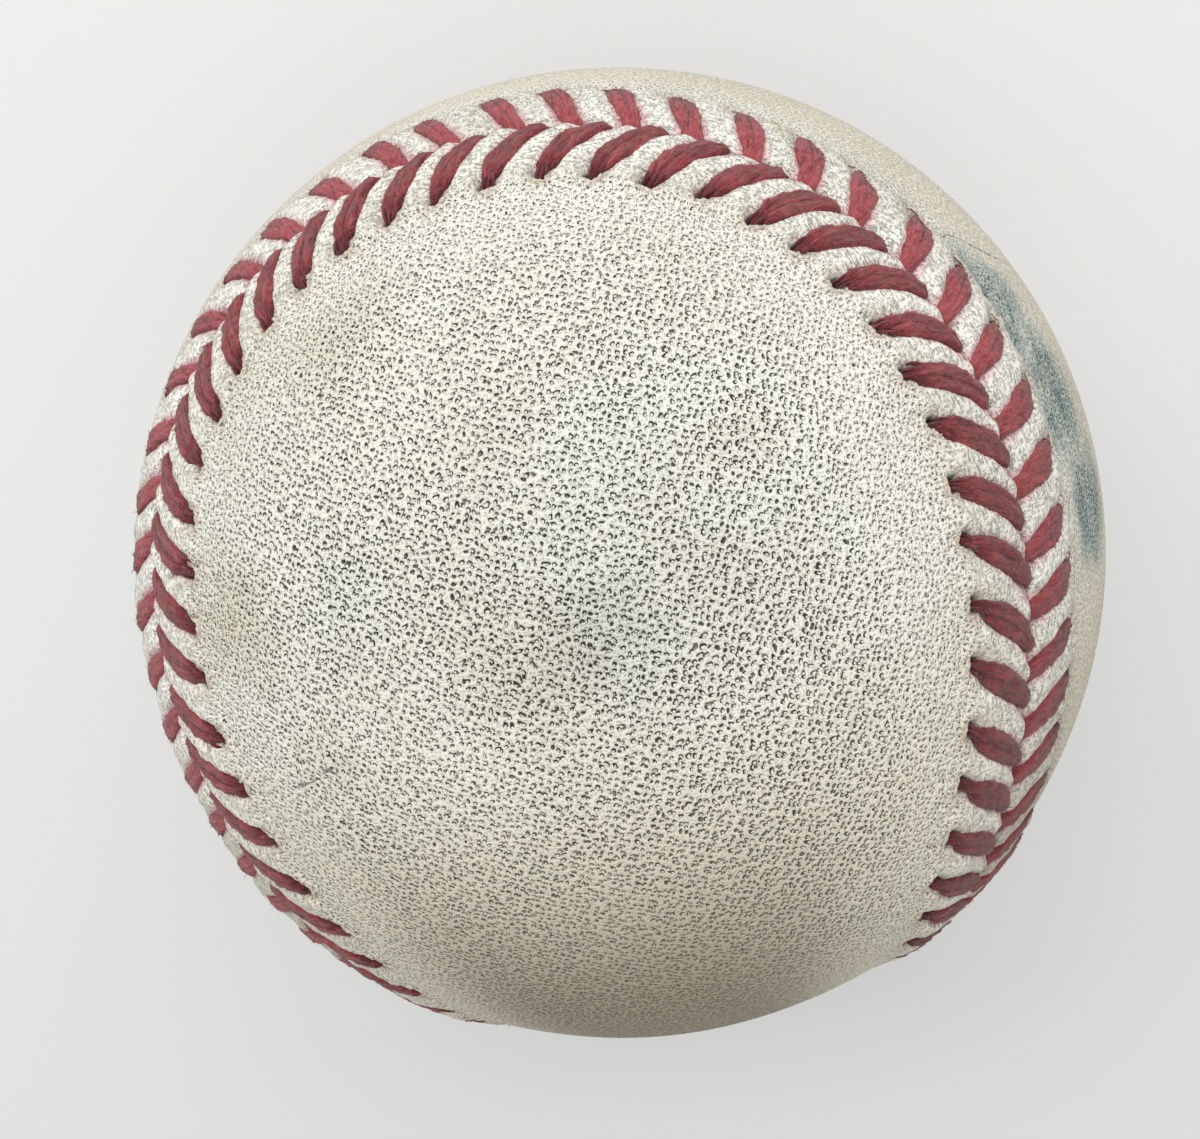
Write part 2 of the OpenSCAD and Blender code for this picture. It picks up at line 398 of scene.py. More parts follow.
def eased(x, low, high):
    t = np.clip((x - low) / (high - low), 0, 1)
    return t * t * (3 - 2 * t)


# The two legs of every double stitch, as they lie on panel A and on panel B: place along
# the seam from the needle hole, and distance from the seam
leg_lines = {
    -1: np.array([[0.0, 5.35], [0.3, 4.9], [0.72, 4.0], [1.2, 3.1], [1.72, 2.25], [2.27, 1.5],
                  [2.82, 0.9], [3.28, 0.5], [3.72, 0.25]]),
    1: np.array([[-0.5, 5.05], [-0.22, 4.5], [0.17, 3.6], [0.5, 2.8], [0.8, 1.95], [1.08, 1.1],
                 [1.38, 0.3], [1.6, -0.4]]),
}
draw = np.random.default_rng(11)
leg_shift = {side: draw.normal(0, 1, (stitch_count, 2)) * (0.12, 0.14) for side in (-1, 1)}
leg_lean = {side: draw.normal(0, 0.10, stitch_count) for side in (-1, 1)}
leg_half = {-1: 0.84, 1: 0.80}
pucker_h = {-1: 0.50, 1: 0.44}


def hole_at(i):
    """The place along the seam that the legs of stitch i are measured from."""
    return (i + first_hole_share) * stitch_step


def leg_line(side, i):
    """Places along the seam and distances from it, along the middle of leg i."""
    line = leg_lines[side]
    i = np.mod(i, stitch_count)
    share = line[:, 1] / line[0, 1]
    bow = leg_lean[side][i][..., None] * share * (1 - share) * 4
    along = line[:, 0] + leg_shift[side][i, 0][..., None] + bow
    away = line[:, 1] + leg_shift[side][i, 1][..., None] * share
    return along, away


def leg_distance(side, s, d):
    """Distance of each place (s, d) from the nearest leg's middle, with a minus on its
    rear side, and from that leg's hole, which is a slit."""
    near, nearest, hole = np.full(s.shape, 99.0), np.full(s.shape, 99.0), np.full(s.shape, 99.0)
    first = np.floor(s / stitch_step - first_hole_share).astype(int)
    for step in (-1, 0, 1):
        i = first + step
        along, away = leg_line(side, i)
        x, y = (s - hole_at(i))[..., None], d[..., None]
        x0, y0 = along[..., :-1], away[..., :-1]
        run, rise = along[..., 1:] - x0, away[..., 1:] - y0
        t = np.clip(((x - x0) * run + (y - y0) * rise) / (run ** 2 + rise ** 2), 0, 1)
        gaps = np.hypot(x - x0 - t * run, y - y0 - t * rise)
        best = gaps.argmin(-1)[..., None]
        gap = np.take_along_axis(gaps, best, -1)[..., 0]
        front = np.take_along_axis(run * (y - y0) - rise * (x - x0), best, -1)[..., 0] > 0
        near = np.where(gap < nearest, np.where(front, gap, -gap), near)
        nearest = np.minimum(nearest, gap)
        hole = np.minimum(hole, np.hypot((x[..., 0] - along[..., 0] + 0.18) / 1.3, d - away[..., 0] + 0.08))
    return near, hole


def leather_height(side, s, d, points):
    """How far the leather stands above the plain ball, in millimetres."""
    near, hole = leg_distance(side, s, d)
    half = leg_half[side]
    # in front of a leg the hide laps over its edge, and behind it the hide slopes away below
    low = np.where(near > 0, 0.66 * half, 0.5 * half)
    high = np.where(near > 0, half + 0.16, half + 0.62)
    hump = np.sin(np.pi / 2 * np.clip((np.abs(near) - low) / (high - low), 0, 1))
    lobe = eased(d, 0.12, 0.75) * (1 - eased(d, 4.1, 6.4))
    height = pucker_h[side] * hump * lobe * (1 + 0.10 * swell(points, 2.5, 21))
    height += 0.035 * swell(points, 0.9, 61) * lobe
    height += 0.05 * (1 - eased(d, 4.5, 9))
    # the needle hole, the lip thrown up round it and the fine creases that run out from it
    height -= 0.6 * np.exp(-((hole / (0.40 if side < 0 else 0.30)) ** 2))
    lip = 0.08 * np.exp(-(((hole - 0.8) / 0.25) ** 2)) * eased(d, 4.2, 5.4)
    height += lip * (1 + 0.5 * swell(points, 0.8, 51))
    creases = 0.06 * np.maximum(0, swell(points, 0.5, 31)) ** 2
    height -= creases * np.exp(-((hole / 2.1) ** 2)) * eased(d, 4.2, 5.6)
    height -= 0.02 * np.clip(1 + swell(points, 9, 41), 0, 2) * eased(d, 6, 10)
    return height, near, hole


def flat_place(points, side):
    """Places on the flat hide the panel was cut from, in millimetres, for the ball's points."""
    x, y, z = unit(points).T
    middle, lobe, width = (-y, z, x) if side < 0 else (y, x, z)
    swing = np.arctan2(lobe, middle)
    plain = np.stack([swing, np.arcsin(np.clip(width, -1, 1))], -1)
    pole = np.sign(swing)
    off = np.arccos(np.clip(lobe * pole, -1, 1))
    flat = np.hypot(middle, width) + 1e-12
    round_pole = np.stack([pole * (np.pi / 2 - off * middle / flat), off * width / flat], -1)
    share = eased(np.abs(swing), 0.35, 1.05)[:, None]
    return ball_r * (plain * (1 - share) + round_pole * share)


# Rows of points beside the seam: distance from it, and depth below the outer face
fine_steps, coarse_steps = 16 * stitch_count, 4 * stitch_count
band_rows = [(0.16, -1.15), (0.14, -0.7), (0.12, -0.36), (0.14, -0.2), (0.2, -0.1), (0.3, -0.03), (0.44, 0.0)]
band_rows += [(d, 0.0) for d in np.arange(0.62, 6.5, 0.17)]
band_rows += [(d, 0.0) for d in (6.8, 7.2, 7.8, 8.6, 9.6)]
inner_edge = 10.4


def fill_region(side, rim, spacing, keep_off, radius):
    """Points spread inside a rim of points on the ball, triangles that join them, and where
    they lie from the seam."""
    # even triangles give each point 0.866 of a square of the spacing
    area_each, probes = 0.866 * spacing ** 2, 1080
    count = int(4 * np.pi * ball_r ** 2 / area_each)
    k = np.arange(count) + 0.5
    up = 1 - 2 * k / count
    swing = np.pi * (1 + 5 ** 0.5) * k
    dots = np.stack([np.sqrt(1 - up ** 2) * np.cos(swing), np.sqrt(1 - up ** 2) * np.sin(swing), up], -1)
    probe = np.arange(probes) * seam_length / probes
    out, _, across = seam_axes(probe)
    nearest = np.concatenate([np.argmax(part @ out.T, axis=1) for part in np.array_split(dots, 40)])
    away = np.arccos(np.clip((dots * out[nearest]).sum(-1), -1, 1)) * ball_r
    inside = ((dots * across[nearest]).sum(-1) * side > 0) & (away > keep_off)
    dots, s, away = dots[inside], probe[nearest[inside]], away[inside]
    flat = flat_place(np.concatenate([rim, dots]), side)
    loop = [(i, (i + 1) % len(rim)) for i in range(len(rim))]
    made = delaunay_2d_cdt([Vector(p) for p in flat.tolist()], loop, [], 1, 1e-7)
    source = [found[0] for found in made[3]]
    return dots * radius, [[source[v] for v in f] for f in made[2]], s, away


def join_rows(below, steps_below, here, steps):
    """Faces between two closed rows of points, which may have different counts."""
    if steps == steps_below:
        i = np.arange(steps)
        j = (i + 1) % steps
        return np.stack([below + i, below + j, here + j, here + i], -1).tolist()
    ratio = fine_steps // coarse_steps
    fine, coarse = (here, below) if steps == fine_steps else (below, here)
    faces = []
    for c in range(coarse_steps):
        n = coarse + (c + 1) % coarse_steps
        f = [fine + (c * ratio + k) % fine_steps for k in range(ratio + 1)]
        for k in range(ratio):
            faces.append([coarse + c if k < ratio // 2 else n, f[k], f[k + 1]])
        faces.append([coarse + c, f[ratio // 2], n])
    return faces


def cover_panel(side, name):
    rows = []                # each: points, length along the seam, distance from it, near, hole
    faces, base, last, last_steps = [], 0, 0, 0
    for row, (d, depth) in enumerate(band_rows + [(inner_edge, 0.0)]):
        steps = coarse_steps if row in (0, len(band_rows)) else fine_steps
        s, d = np.arange(steps) * seam_length / steps, np.full(steps, float(d))
        rise, near, hole = leather_height(side, s, d, on_ball(s, side * d, np.zeros(steps)))
        rise *= row > 1
        rows.append((on_ball(s, side * d, rise + depth - 0.02), s, d, near, hole))
        if row:
            faces += join_rows(last, last_steps, base, steps)
        last, last_steps, base = base, steps, base + steps
    # the open field inside the band of rows, and the glued face below
    for spacing, keep_off, radius, rim, rim_start in (
            (0.9, inner_edge + 0.5, 1.0, rows[-1][0], last), (2.4, 1.6, leather_in_r + 0.06, rows[0][0], 0)):
        dots, triangles, s, d = fill_region(side, rim, spacing, keep_off, radius)
        if radius == 1.0:
            dots = dots * (ball_r + leather_height(side, s, d, dots * ball_r)[0] - 0.02)[:, None]
        faces += [[rim_start + v if v < coarse_steps else base + v - coarse_steps for v in t]
                  for t in triangles]
        rows.append((dots, s, d, np.full(len(s), 9.0), np.full(len(s), 9.0)))
        base += len(dots)
    points, s, d, near, hole = (np.concatenate(part) for part in zip(*rows))
    ring = 2 * np.pi * s / seam_length
    loop_r = seam_length / (2 * np.pi)
    band = np.stack([loop_r * np.cos(ring), loop_r * np.sin(ring), d], -1)
    hide = np.concatenate([flat_place(points, side), np.zeros((len(points), 1))], -1)
    pull = np.stack([np.abs(near), hole, 0 * d], -1)
    return mesh_piece(name, points, faces, band=band, hide=hide, pull=pull)


leather_a = cover_panel(-1, "leather_panel_a")
leather_b = cover_panel(1, "leather_panel_b")


# The lip round a needle hole, cut across: places out from its middle and up
lip_outline = ((-0.6, -0.3), (-1.35, 0.6), (-0.75, 1.0), (0.3, 0.9), (0.9, 0.35), (1.1, -0.3))


def hole_lips(side, name, draw):
    """The torn lip of hide round the far end of every needle hole."""
    turns, ring_size = 14, len(lip_outline)
    points, faces, torn = [], [], []
    for i in range(stitch_count):
        along, away = leg_line(side, np.array(i))
        t = np.linspace(0, 1, turns)
        angle = np.radians(draw.uniform(-35, 10) + t * draw.uniform(150, 210))
        reach = 0.62 + 0.10 * np.sin(angle * 3 + draw.uniform(0, 6)) + draw.normal(0, 0.03, turns)
        s = along[0] - 0.18 + np.cos(angle) * reach * 1.25 + hole_at(i)
        d = away[0] - 0.08 + np.sin(angle) * reach
        ends = np.sin(np.pi * np.clip(t, 0.02, 0.98)) ** 0.5
        high = (0.06 + 0.08 * draw.random() + draw.normal(0, 0.03, turns)) * ends
        wide = (0.15 + draw.normal(0, 0.025, turns)) * ends
        middle = on_ball(s, side * d, np.zeros(turns))
        up = unit(middle)
        outward = unit(np.cross(up, np.gradient(middle, axis=0)))
        hub = on_ball(np.array([along[0] + hole_at(i)]), side * away[:1], np.zeros(1))
        outward *= np.sign(((middle - hub) * outward).sum(-1, keepdims=True))
        for x, z in lip_outline:
            points.append(middle + outward * (x * wide)[:, None] + up * (z * high + 0.03)[:, None])
        start = i * turns * ring_size
        for k in range(ring_size):
            here, beside = start + k * turns, start + (k + 1) % ring_size * turns
            faces += [[here + j, here + j + 1, beside + j + 1, beside + j] for j in range(turns - 1)]
        faces += [[start + k * turns + end for k in range(ring_size)] for end in (0, turns - 1)]
    return mesh_piece(name, np.concatenate(points), faces)


draw = np.random.default_rng(37)
lips = {-1: hole_lips(-1, "hole_lips_a", draw), 1: hole_lips(1, "hole_lips_b", draw)}
for piece, node in ((leather_a, "cover_panel_a"), (lips[-1], "cover_panel_a"),
                    (leather_b, "cover_panel_b"), (lips[1], "cover_panel_b")):
    ride_as(piece, node)


def most(*parts):
    return chain("MAXIMUM", *parts)


def vectors(operation, *wired):
    node = put("VectorMath", *wired, operation=operation)
    return node.outputs["Value"] if operation in ("DISTANCE", "DOT_PRODUCT") else node.outputs[0]


def wander(where, amount, scale, detail=1.0):
    """A shift drawn from noise at a place, by up to half of amount along each axis."""
    drift = noise(where, scale, detail, output="Color")
    return scaled(vectors("SUBTRACT", drift, (0.5, 0.5, 0.5)), amount)


def turned(vector, angle):
    """A vector turned about the z axis."""
    return put("VectorRotate", vector, None, None, angle, rotation_type="Z_AXIS").outputs[0]


def coats(colour, *layers):
    """A colour covered by one layer after another, each given by its share and its colour."""
    for share, over in layers:
        colour = blend(share, colour, over)
    return colour


# Hair pores: a pit in every cell of the hide, round or horseshoe-shaped, dark where dirt has settled
pores, pores_in, pores_out = open_group(
    "hair_pores", ["Where"], ["Spacing", "Slant", "Length", "Stray", "Fill"], ["Mark", "Height"])
broad = wander(pores_in["Where"], 0.7, 0.8)
fine = wander(pores_in["Where"], 0.16, 4.5)
moved = vectors("ADD", vectors("ADD", pores_in["Where"], broad), fine)
density = sums("DIVIDE", 1.0, pores_in["Spacing"])
cells = put("TexVoronoi", moved, voronoi_dimensions="2D")
cells.inputs["Randomness"].default_value = 0.62
wire(density, cells.inputs["Scale"])
offset = scaled(vectors("SUBTRACT", moved, cells.outputs["Position"]), density)
luck = put("SeparateColor", cells.outputs["Color"]).outputs
swerve = times(sums("SUBTRACT", luck[0], 0.5), pores_in["Stray"])
right, up, _ = apart(turned(offset, added(pores_in["Slant"], swerve)))
run = sums("DIVIDE", right, pores_in["Length"])
size = times(ramp(luck[1], 0.0, 1.0, 0.25, 0.325), ramp(luck[2], 0.18, 0.3, 0.84, 1.0),
             pores_in["Fill"])
square = sums("POWER", run, 2.0)
# the round of the pore, and the bite that makes a horseshoe of most
outer, inner = (sums("SQRT", added(square, sums("POWER", height, 2.0)))
                for height in (up, added(up, times(size, 0.4))))
body = ramp(sums("DIVIDE", outer, size), 0.86, 1.1, 1.0, 0.0)
bite = times(ramp(sums("DIVIDE", inner, size), 0.4, 0.72, 1.0, 0.0), ramp(luck[2], 0.18, 0.3, 0.2, 1.0))
mark = times(body, sums("SUBTRACT", 1.0, bite), ramp(luck[0], 0.0, 0.5, 0.8, 1.0))
wire(mark, pores_out["Mark"])
bowl = added(0.4, ramp(cells.outputs["Distance"], 0.05, 0.6, 0.0, 0.6))
wire(sums("SUBTRACT", bowl, times(body, 0.4)), pores_out["Height"])

# Handling dirt: broad soft clouds
cloud, cloud_in, cloud_out = open_group("soft_cloud", ["Where"], ["Size", "Low", "High"], ["Share"])
haze = noise(cloud_in["Where"], sums("DIVIDE", 1.0, cloud_in["Size"]), 4.0, 0.6)
wire(ramp(haze, cloud_in["Low"], cloud_in["High"]), cloud_out["Share"])

# A soiled spot: how strongly a mark round a point shows
spot, spot_in, spot_out = open_group("soiled_spot", ["Where", "Middle"], ["Reach"], ["Share"])
ragged = vectors("ADD", spot_in["Where"], wander(spot_in["Where"], 4.0, 0.45, 3.0))
away = sums("DIVIDE", vectors("DISTANCE", ragged, spot_in["Middle"]), spot_in["Reach"])
wire(ramp(away, 0.1, 1.0, 1.0, 0.0), spot_out["Share"])

# Stains of panel A: middle, reach, how strong, and grey or brown
grey, brown = (0.40, 0.41, 0.37, 1), (0.50, 0.44, 0.28, 1)
stains = (
    ((4.6, 11.3, 34.9), 17.0, 0.2, grey),
    ((2.7, 7.5, 36.1), 5.0, 0.33, grey),
    ((-1.8, 6.8, 36.3), 6.0, 0.25, brown),
    ((11.5, 15.3, 31.7), 3.5, 0.2, brown),
    ((-11.0, 10.3, 33.8), 4.5, 0.12, grey),
    ((-9.9, 13.6, 33.0), 6.0, 0.10, grey),
    ((-8.9, 24.8, 26.0), 6.0, 0.26, brown),
    ((-19.3, 10.2, 29.9), 6.0, 0.4, brown),
    ((-14.7, 2.7, 33.9), 4.0, 0.2, brown),
)
# The scuff of panel B: the middles of its parts and their reach. Then a scratch on each panel
scuff_parts = (((28.9, 16.0, 17.2), 7.0), ((31.6, 9.8, 16.8), 7.5), ((33.0, 2.2, 16.8), 6.5))
scratch_ends = {-1: ((-17.4, 0.8, 32.7), (-14.0, 2.2, 34.2)), 1: ((25.4, 21.4, 16.1), (31.1, 17.6, 9.8))}
# Bare hide beside the seam, and how strong its fine speckle is
hide_colour = {-1: (0.93, 0.905, 0.825, 1), 1: (0.97, 0.95, 0.88, 1)}
speckle = {-1: 0.42, 1: 0.62}
# Painted shade: the hide is painted near-black this near to the middle of a needle hole
hole_shade_reach = {-1: 0.52, 1: 0.38}
row_slant = 0.52


def mark_at(where, middle, reach):
    return place(spot, Where=where, Middle=middle, Reach=reach)["Share"]


def scratch(where, start, end):
    """How strongly a fine broken scratch from one point of the ball to another shows."""
    start, end = np.array(start), np.array(end)
    moved = vectors("ADD", where, wander(where, 1.4, 0.6, 3.0))
    off = sums("ABSOLUTE", vectors("DOT_PRODUCT", moved, tuple(unit(np.cross(start, end)))))
    half = np.linalg.norm(end - start) / 2
    far = vectors("DISTANCE", where, tuple((start + end) / 2))
    ends = ramp(far, half * 0.75, half * 1.1, 1.0, 0.0)
    broken = ramp(noise(where, 1.6), 0.3, 0.5, 0.2, 1.0)
    return times(ramp(off, 0.03, 0.13, 1.0, 0.0), ends, broken)


def lower_painted_shade(side, right, up, away):
    """How strongly the painted shade on the ball's lower part shows, growing towards the bottom."""
    lower = ramp(up, 3.0, -20.0)
    if side < 0:
        return times(lower, ramp(away, 6.0, 16.0, 0.15, 1.0), ramp(right, 3.0, 19.0, 1.0, 0.3))
    return times(lower, ramp(away, 4.0, 14.0, 0.6, 1.0))


def hide_grain(side, where, right, hide, wide_field):
    """Large pores in rows, small ones between them, and pricks in the drawn hide at the seam."""
    drift = place(cloud, Where=where, Size=14.0, Low=0.3, High=0.7)["Share"]
    slant = added(ramp(right, -6.0, 14.0, 0.88, 2.15), ramp(drift, 0, 1, -0.3, 0.3), row_slant)
    fill = added(ramp(wide_field, 0, 1, 0.68, 0.98), ramp(drift, 0, 1, -0.05, 0.10))
    if side > 0:
        fill = added(fill, 0.1)
    rows = turned(hide, -row_slant)
    big = place(pores, Where=rows, Spacing=0.395, Slant=slant, Length=1.15, Stray=1.5, Fill=fill)
    small = place(pores, Where=hide, Spacing=0.25, Slant=slant, Length=1.4, Stray=2.4, Fill=0.75)
    pricks = place(pores, Where=where, Spacing=0.30, Slant=slant, Length=1.6, Stray=3.0, Fill=0.8)
    return big, small, pricks


def stain_a(where, soiled_and_shaded, pit):
    """The grey and brown stains of panel A, which darken the pits too."""
    for middle, reach, depth, dirt in stains:
        mark = mark_at(where, middle, reach)
        soiled_and_shaded = blend(times(mark, depth), soiled_and_shaded, dirt)
        pit = sums("ADD", pit, times(mark, pit, depth), clamp=True)
    return soiled_and_shaded, pit


def stain_b(where, away, specks, soiled_and_shaded, pit):
    """The beige field of panel B, its blue-grey scuff along the seam with the dirt rubbed
    into streaks, and a small green spot."""
    pit = times(pit, ramp(away, 5.5, 9.0, 0.8, 0.45))
    scuff = most(*(mark_at(where, *part) for part in scuff_parts))
    scuff = times(scuff, ramp(away, 4.8, 6.0), ramp(noise(where, 0.22, 4.0, 0.65), 0.34, 0.5, 0.6, 1.0))
    streaks = stretched(where, (1.0, 0.16, 0.5), (0.0, 0.35, 0.0))
    rubbed = ramp(noise(streaks, 0.9, 4.0, 0.6), 0.42, 0.62)
    mould = mark_at(where, (17.5, 28.8, 15.3), 1.3)
    soiled_and_shaded = coats(soiled_and_shaded,
                   (times(ramp(away, 5.5, 9.0), 0.75), (0.82, 0.755, 0.61, 1)),
                   (times(scuff, 0.95), (0.47, 0.565, 0.535, 1)),
                   (times(scuff, rubbed, 0.58), (0.12, 0.22, 0.23, 1)),
                   (times(mould, 0.6), (0.40, 0.42, 0.12, 1)))
    return soiled_and_shaded, sums("MAXIMUM", pit, times(scuff, specks, 1.3), clamp=True)


def leather_finish(name, piece, side):
    """Hide with its grain, the dirt in and on it, the dye of the thread, and painted shade on its lower part
    and in the needle holes.
    """
    tree, shader = new_finish(name, [piece], Roughness=0.62, Specular_IOR_Level=0.3)
    where = in_mm(tree)
    right, up, _ = apart(where)
    hide, band, pull = (from_points(tree, n) for n in ("hide", "band", "pull"))
    away = apart(band)[2]
    near, hole, _ = apart(pull)
    open_field = ramp(away, 4.2, 5.8)
    wide_field = ramp(away, 5.0, 15.0)
    nap = noise(where, 7.0, 3.0, 0.65)
    big, small, pricks = hide_grain(side, where, right, hide, wide_field)
    # short creases of the drawn hide beside the seam, which run from leg to leg
    lines = ramp(noise(stretched(band, (0.3, 0.3, 1)), 6.5, 2.0, 0.55), 0.56, 0.63)
    # dirt on the open hide, and painted shade on its lower part
    lower = lower_painted_shade(side, right, up, away)
    warmed = times(ramp(up, 8.0, -9.0), ramp(away, 3.0, 9.0, 0.3, 1.0))
    smudge = place(cloud, Where=where, Size=11.0, Low=0.3, High=0.72)["Share"]
    fine = ramp(noise(where, 6.5, 2.0, 0.8), 0.5, 0.66, 0.0, speckle[side])
    soiled_and_shaded = coats(hide_colour[side],
                   (wide_field, (0.90, 0.89, 0.80, 1)),
                   (smudge, (0.80, 0.785, 0.68, 1)),
                   (times(warmed, 0.85), (0.87, 0.815, 0.665, 1)),
                   # painted shade: the hide is darkened towards the bottom of the ball
                   (lower, (0.38, 0.32, 0.23, 1)),
                   (fine, (0.44, 0.42, 0.35, 1)))
    # dirt in the pits and in the creases
    pit = most(big["Mark"], times(small["Mark"], ramp(wide_field, 0, 1, 0.75, 0.36)))
    pit = times(pit, open_field, ramp(lower, 0, 1, 1.0, 0.85))
    tight = times(most(times(lines, 0.85), times(pricks["Mark"], 0.5)),
                  sums("SUBTRACT", 1.0, open_field))
    if side < 0:
        soiled_and_shaded, pit = stain_a(where, soiled_and_shaded, pit)
    else:
        specks = most(big["Mark"], small["Mark"], times(pricks["Mark"], 0.7))
        soiled_and_shaded, pit = stain_b(where, away, specks, soiled_and_shaded, pit)
    pit = most(pit, times(scratch(where, *scratch_ends[side]), 0.75))
    settled = blend(ramp(nap, 0.35, 0.62), (0.012, 0.012, 0.009, 1), (0.07, 0.062, 0.045, 1))
    # dye off the thread, grime round the needle holes, and painted shade in them
    dye = times(ramp(near, leg_half[side] - 0.1, leg_half[side] + 0.42, 1.0, 0.0),
                ramp(away, 0.1, 4.5, 0.8, 0.15), ramp(nap, 0.3, 0.6, 0.5, 1.0))
    grime = times(ramp(hole, 0.5, 1.9, 1.0, 0.0), ramp(nap, 0.4, 0.65), 0.55)
    paint(shader, coats(
        soiled_and_shaded,
        (pit, settled),
        (times(tight, 0.55), (0.15, 0.14, 0.11, 1)),
        (dye, (0.74, 0.42, 0.46, 1)),
        (grime, (0.36, 0.28, 0.17, 1)),
        # painted shade: near-black in the middle of each needle hole
        (ramp(hole, hole_shade_reach[side] - 0.28, hole_shade_reach[side], 1.0, 0.0), (0.02, 0.008, 0.006, 1))))
    grain = added(times(big["Height"], 0.62), times(small["Height"], 0.2))
    shrunk = sums("SUBTRACT", 0.9, times(added(lines, pricks["Mark"]), 0.4))
    height = put("Mix", open_field, None, shrunk, grain, data_type="FLOAT").outputs[0]
    raise_surface(shader, added(height, times(nap, 0.26)), 0.19 * mm)


leather_finish("leather_finish_a", leather_a, -1)
leather_finish("leather_finish_b", leather_b, 1)
tree, shader = new_finish("torn_leather_finish", list(lips.values()), Roughness=0.85, Specular_IOR_Level=0.15)
fluff = noise(in_mm(tree), 6.0, 4.0, 0.7)
torn = blend(ramp(fluff, 0.35, 0.68), (0.44, 0.36, 0.26, 1), (0.86, 0.82, 0.72, 1))
paint(shader, torn)
raise_surface(shader, fluff, 0.12 * mm)

# Stitches
# 108 double stitches of doubled, waxed red cotton thread, sewn by hand with two
# needles. Each leg is two strands, pressed into one flat leaf, that dive into the
# needle hole at one end and into the seam at the other.

strand_rings, strand_corners = 28, 26

# Along a leg, from the hole to the seam: shares of its length, and at those the half width
# and half thickness of the leaf, the height of its middle and the share each strand takes
leg_forms = {
    -1: ((0.00, 0.05, 0.12, 0.20, 0.38, 0.58, 0.80, 0.93, 1.00),
         (0.40, 0.56, 0.72, 0.82, 0.92, 0.90, 0.66, 0.40, 0.14),
         (0.24, 0.28, 0.34, 0.38, 0.40, 0.40, 0.36, 0.30, 0.18),
         (-0.55, -0.18, 0.10, 0.20, 0.25, 0.25, 0.23, 0.15, -0.04),
         (0.60, 0.58, 0.58, 0.58, 0.60, 0.62, 0.66, 0.70, 0.74)),
    1: ((0.00, 0.06, 0.16, 0.28, 0.40, 0.52, 0.75, 0.92, 1.00),
        (0.12, 0.30, 0.55, 0.86, 1.00, 0.94, 0.70, 0.54, 0.48),
        (0.20, 0.26, 0.32, 0.36, 0.37, 0.37, 0.36, 0.34, 0.32),
        (-0.30, 0.04, 0.17, 0.21, 0.22, 0.22, 0.20, 0.06, -0.12),
        (0.80, 0.78, 0.76, 0.76, 0.76, 0.74, 0.74, 0.72, 0.70)),
}
# The half widths of panel B's legs where they come up square from their holes
square_half = (0.56, 0.64, 0.70, 0.73, 0.73, 0.70, 0.62, 0.54, 0.48)
# How far the front strand's end is set back from the rear one's
front_start = {-1: 0.7, 1: 0.5}
# Along a ply that parts from a strand: shares of its reach, and how far it has dropped there
ply_shares = np.array([0.0, 0.35, 0.65, 0.88, 1.0])[:, None]
ply_drops = np.array([0.0, 0.03, 0.14, 0.36, 0.72])[:, None]


def thread_piece(name, points, faces, grain, wear, lot):
    """A mesh of thread from lists of its points and of what its finish asks about them."""
    return mesh_piece(name, np.concatenate(points), faces, grain=np.concatenate(grain),
                      wear=np.concatenate(wear), lot=np.concatenate(lot))


def along_line(line, t):
    """Places at the shares t of the length of a line, rounded off at its corners."""
    steps = run_length(line)
    places = np.stack([np.interp(t, steps / steps[-1], line[:, k]) for k in range(line.shape[1])], -1)
    for _ in range(2):
        places[1:-1] = 0.25 * places[:-2] + 0.5 * places[1:-1] + 0.25 * places[2:]
    return places


def strand_course(side, which, i, t, draw):
    """How a strand of leg i runs, at the shares t: half width of the leg and of the strand,
    offset from the leg's middle, its own middle line, and the ways along, across and up."""
    stations, half_t, _, rest_t, share_t = leg_forms[side]
    half_t, rest_t, share_t = (np.interp(t, stations, column) for column in (half_t, rest_t, share_t))
    along, away = leg_line(side, np.array(i))
    path = along_line(np.stack([along, away], -1), t)
    way = unit(np.gradient(path, axis=0))
    sideways = np.stack([-way[:, 1], way[:, 0]], -1)
    half = half_t * (1 + draw.normal(0, 0.05))
    square = 0.0
    if side > 0:
        # panel B's legs are square at the holes on the ball's left half, and pointed on the right
        hole = on_ball(np.array([along[0] + hole_at(i)]), away[:1], np.zeros(1))
        square = eased(hole[0, 0], 20, 10)
        half = half + square * (np.interp(t, stations, square_half) - half_t)
    strand_half = half * share_t
    centre = path + sideways * which * ((half - strand_half) + 0.03 * np.sin(t * draw.uniform(5, 9)))[:, None]
    start = draw.normal(0, 0.12) + (front_start[side] * (1 - 0.9 * square) if which > 0 else -0.05)
    centre[:, 1] -= start * (1 - t) ** 4
    s = centre[:, 0] + hole_at(i)
    rest = rest_t + draw.normal(0, 0.025)
    middle = on_ball(s, side * centre[:, 1], rest)
    tangent = unit(np.gradient(middle, axis=0))
    beside = on_ball(s + sideways[:, 0] * 0.1, side * (centre[:, 1] + sideways[:, 1] * 0.1), rest)
    flat_way = unit(beside - middle)
    upward = unit(np.cross(flat_way, tangent))
    upward *= np.sign((upward * middle).sum(-1))[strand_rings // 2]
    return half, strand_half, (sideways * (centre - path)).sum(-1), middle, tangent, flat_way, upward


